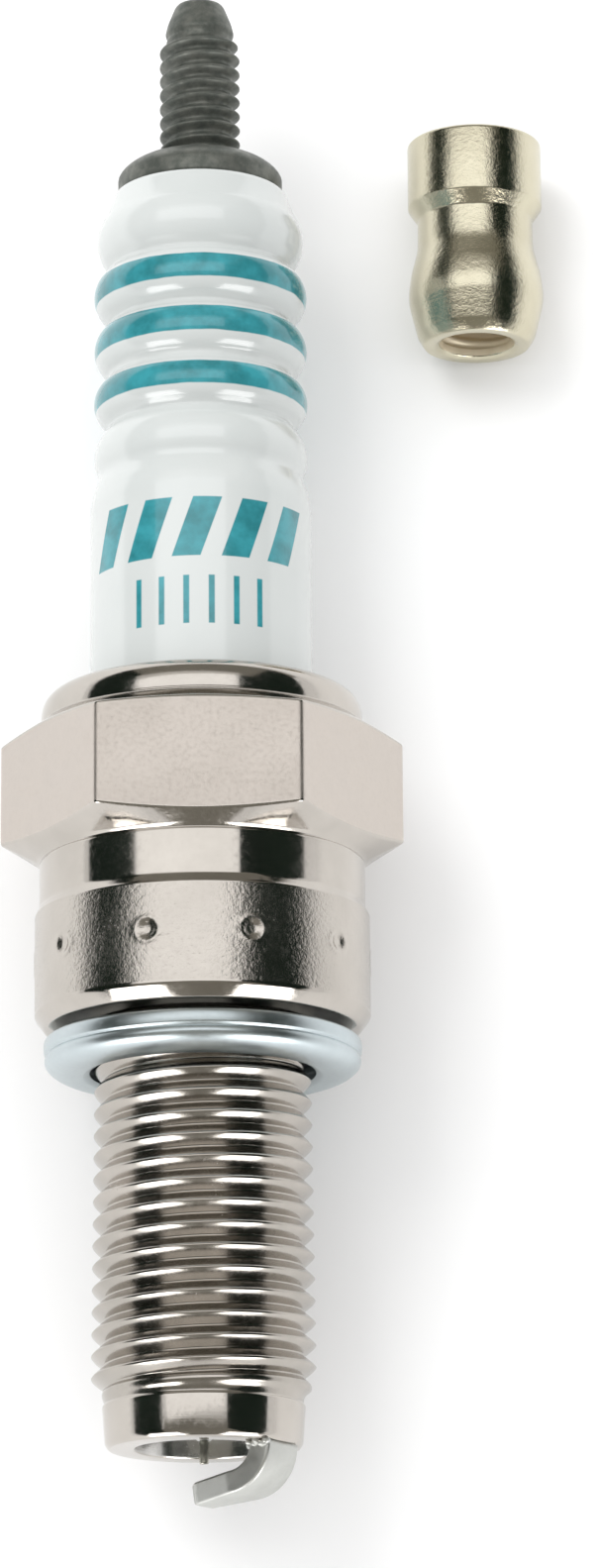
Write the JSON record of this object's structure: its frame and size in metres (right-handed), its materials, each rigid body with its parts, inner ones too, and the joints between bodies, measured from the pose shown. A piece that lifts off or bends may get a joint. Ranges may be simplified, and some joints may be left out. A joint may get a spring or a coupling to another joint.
{
  "type": "spark_plug",
  "caption": "Spark plug for a small engine: corrugated white insulator, hexagon shell, short threaded nose with folded gasket, hooked earth electrode and a loose terminal nut.",
  "frame": {"origin": "centre of the first thread crest on the plug axis, 2.9 mm below the shell's sealing seat", "axes": "+Y along the plug axis towards the terminal, +Z normal to the upper hexagon flat, +X towards the loose terminal nut"},
  "size_m": [0.0255, 0.0714, 0.016],
  "materials": {
    "shell_steel": "nickel plated, satin",
    "insulator_ceramic": "white glaze",
    "packing_steel": "plain",
    "talc": "pressed powder",
    "stud_steel": "dark oxide",
    "glass_seal": "fused copper glass",
    "resistor": "matte",
    "nickel_alloy": "satin nickel",
    "copper": "plain copper",
    "precious_metal": "bright",
    "zinc_gasket": "bluish zinc plate",
    "nut_plating": "pale plated"
  },
  "bodies": {
    "plug": {"metal_shell": "shell_steel", "ceramic_insulator": "insulator_ceramic", "seat_packing_ring": "packing_steel", "lower_packing_ring": "packing_steel", "talc_fill": "talc", "upper_packing_ring": "packing_steel", "terminal_stud": "stud_steel", "upper_glass_seal": "glass_seal", "resistor_element": "resistor", "lower_glass_seal": "glass_seal", "centre_electrode": "nickel_alloy", "copper_core": "copper", "iridium_tip": "precious_metal", "ground_electrode": "nickel_alloy"},
    "gasket": {"sealing_gasket": "zinc_gasket"},
    "nut": {"terminal_nut": "nut_plating"}
  },
  "joints": [
    {"name": "gasket_play", "type": "slide", "parent": "plug", "child": "gasket", "axis": [0, 1, 0], "range_m": [-0.00008, 0.00032]},
    {"name": "nut_path", "type": "slide", "parent": "plug", "child": "nut", "axis": [-0.4059, 0.9019, 0.1479], "range_m": [0, 0.03216]}
  ]
}
